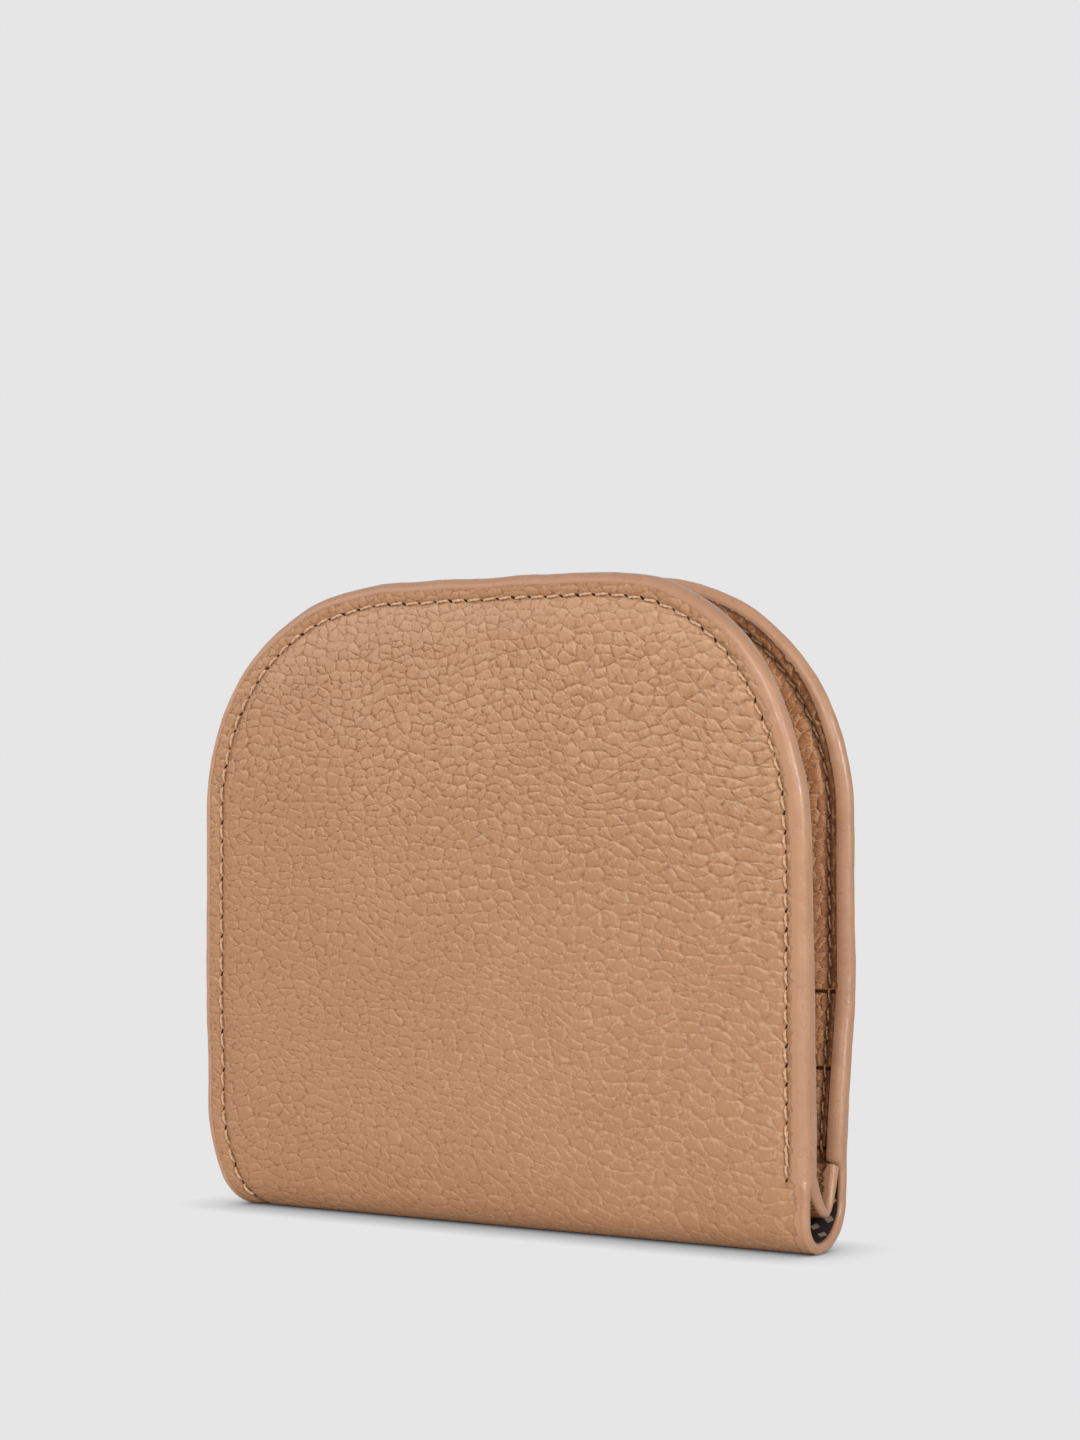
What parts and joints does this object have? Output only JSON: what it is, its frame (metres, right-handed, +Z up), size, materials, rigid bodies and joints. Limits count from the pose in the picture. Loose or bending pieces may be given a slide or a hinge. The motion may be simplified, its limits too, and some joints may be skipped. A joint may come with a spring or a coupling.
{
  "type": "two-fold leather wallet",
  "caption": "Small two-fold leather wallet with arched covers and painted edges, standing closed on its soft fold, with card pockets and a zipped coin pocket inside.",
  "frame": {"origin": "middle of the fold's underside, which the closed wallet stands on", "axes": "+Z up from the fold to the arched top, +X along the fold towards its open end, the front cover faces -Y"},
  "size_m": [0.102, 0.0146, 0.091],
  "materials": {
    "leather": "pebbled tan leather, satin",
    "edge_paint": "smooth edge paint, satin",
    "lining": "dark brown woven lining",
    "board": "bonded leather board",
    "tape": "woven zip tape",
    "zip_metal": "pale gold plated"
  },
  "bodies": {
    "fold": {"shell_fold": "leather", "lining_fold": "lining", "inner_panel_fold": "leather"},
    "front_half": {"shell_front": "leather", "lining_front": "lining", "stiffener_front": "board", "seam_filler_front": "board", "inner_panel_front": "leather", "edge_coat_front": "edge_paint", "coin_pocket_bag": "lining", "zip_tape_upper": "tape", "zip_tape_lower": "tape", "zip_teeth_upper": "zip_metal", "zip_teeth_lower": "zip_metal", "zip_top_stops": "zip_metal", "zip_bottom_stop": "zip_metal"},
    "rear_half": {"shell_rear": "leather", "lining_rear": "lining", "stiffener_rear": "board", "inner_panel_rear": "leather", "edge_coat_rear": "edge_paint", "card_pocket_lower": "leather", "card_pocket_middle": "leather", "card_pocket_upper": "leather", "pocket_tail_lower": "lining", "pocket_tail_middle": "lining"},
    "slider": {"zip_slider": "zip_metal"},
    "puller": {"zip_puller": "zip_metal"}
  },
  "joints": [
    {"name": "front_fold", "type": "hinge", "parent": "fold", "child": "front_half", "pos_m": [0, -0.004, 0.0033], "axis": [1, 0, 0], "range_deg": [0, 90], "deforming": ["shell_fold", "lining_fold", "inner_panel_fold"]},
    {"name": "rear_fold", "type": "hinge", "parent": "fold", "child": "rear_half", "pos_m": [0, 0.004, 0.0033], "axis": [-1, 0, 0], "range_deg": [0, 90], "deforming": ["shell_fold", "lining_fold", "inner_panel_fold"]},
    {"name": "zip_slide", "type": "slide", "parent": "front_half", "child": "slider", "axis": [-1, 0, 0], "range_m": [0, 0.064], "deforming": ["zip_teeth_upper", "zip_teeth_lower"]},
    {"name": "puller_lift", "type": "hinge", "parent": "slider", "child": "puller", "pos_m": [0.0335, -0.0021, 0.0204], "axis": [0, 0, -1], "range_deg": [0, 20]}
  ]
}
